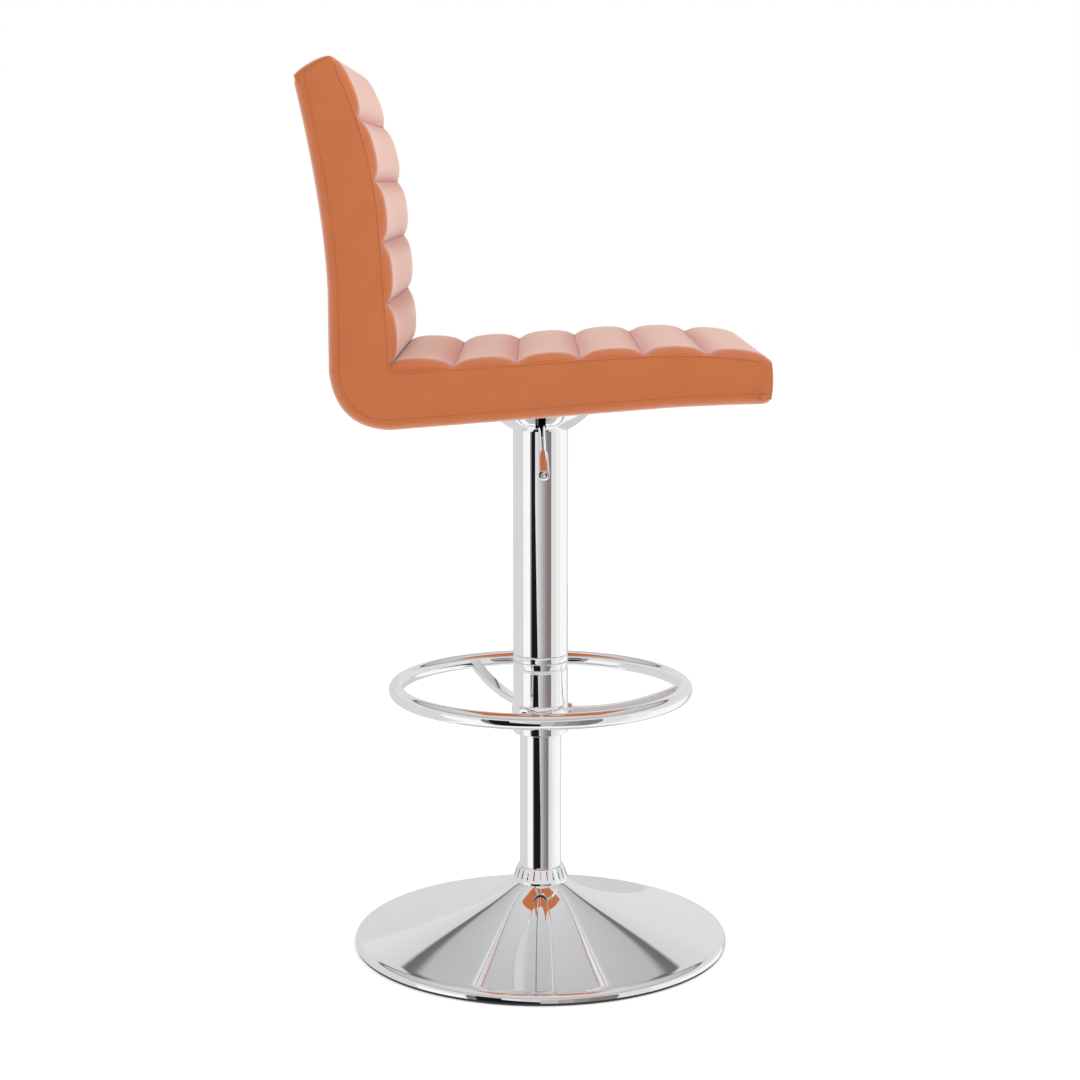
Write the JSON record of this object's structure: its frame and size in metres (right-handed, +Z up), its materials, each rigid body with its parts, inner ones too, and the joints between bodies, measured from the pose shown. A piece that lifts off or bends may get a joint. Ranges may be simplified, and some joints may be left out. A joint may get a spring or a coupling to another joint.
{
  "type": "bar stool",
  "caption": "Adjustable bar stool: chromed trumpet base, gas-lift column with footrest ring, and a channelled upholstered seat with a low back.",
  "frame": {"origin": "on the column's axis, on the floor plane under the base", "axes": "+Z up along the column, -Y towards the front of the seat, +X to the sitter's left; the height lever is on the -X side"},
  "size_m": [0.41, 0.4753, 0.9549],
  "materials": {
    "chrome": "polished",
    "steel": "satin",
    "black_steel": "satin",
    "rubber": "matte",
    "plastic": "satin",
    "vinyl": "satin",
    "foam": "matte",
    "plywood": "matte"
  },
  "bodies": {
    "base": {"base_shell": "chrome", "ballast_plate": "steel", "edge_ring": "rubber", "base_hub": "steel", "hub_screws": "steel", "lower_column": "chrome", "column_end_plate": "steel", "lower_race": "steel", "bearing_balls": "steel", "slotted_collar": "chrome", "guide_bush": "plastic", "footrest_sleeve": "chrome", "footrest_bush": "plastic", "footrest_arm_1": "chrome", "footrest_arm_2": "chrome", "footrest_arm_3": "chrome", "footrest_ring": "chrome", "footrest_set_screw": "black_steel"},
    "rod": {"piston_rod": "chrome", "piston": "steel", "rod_clip": "steel", "upper_race": "steel", "bump_stop": "rubber"},
    "seat": {"gas_cylinder": "black_steel", "cylinder_gland": "rubber", "cover_tube": "chrome", "cover_guide": "plastic", "bell_cover": "chrome", "taper_socket": "steel", "lift_bracket": "steel", "seat_plate": "steel", "seat_bolts": "steel", "tee_nuts": "steel", "lever_pivot": "steel", "seat_board": "plywood", "back_board": "plywood", "corner_brackets": "steel", "bracket_screws": "steel", "seat_foam": "foam", "back_foam": "foam", "seat_channels": "vinyl", "back_channels": "vinyl", "side_panel_right": "vinyl", "side_panel_left": "vinyl", "nose_panel": "vinyl", "rear_panel": "vinyl", "top_cap": "vinyl"},
    "lever": {"lever_rod": "chrome", "lever_grip": "chrome"},
    "valve": {"valve_button": "steel"}
  },
  "joints": [
    {"name": "seat_swivel", "type": "hinge", "parent": "base", "child": "rod", "pos_m": [0, 0, 0.02], "axis": [0, 0, 1], "continuous": true},
    {"name": "seat_lift", "type": "slide", "parent": "rod", "child": "seat", "axis": [0, 0, 1], "range_m": [0, 0.2]},
    {"name": "lever_pull", "type": "hinge", "parent": "seat", "child": "lever", "pos_m": [-0.018, 0, 0.5811], "axis": [0, 1, 0], "range_deg": [0, 8], "stiffness_Nm_per_rad": 2, "springref_deg": -4.58},
    {"name": "valve_press", "type": "slide", "parent": "seat", "child": "valve", "axis": [0, 0, -1], "range_m": [0, 0.0026]}
  ],
  "couplings": [
    {"joint": "valve_press", "follows": "lever_pull", "m_per_rad": 0.0182}
  ]
}
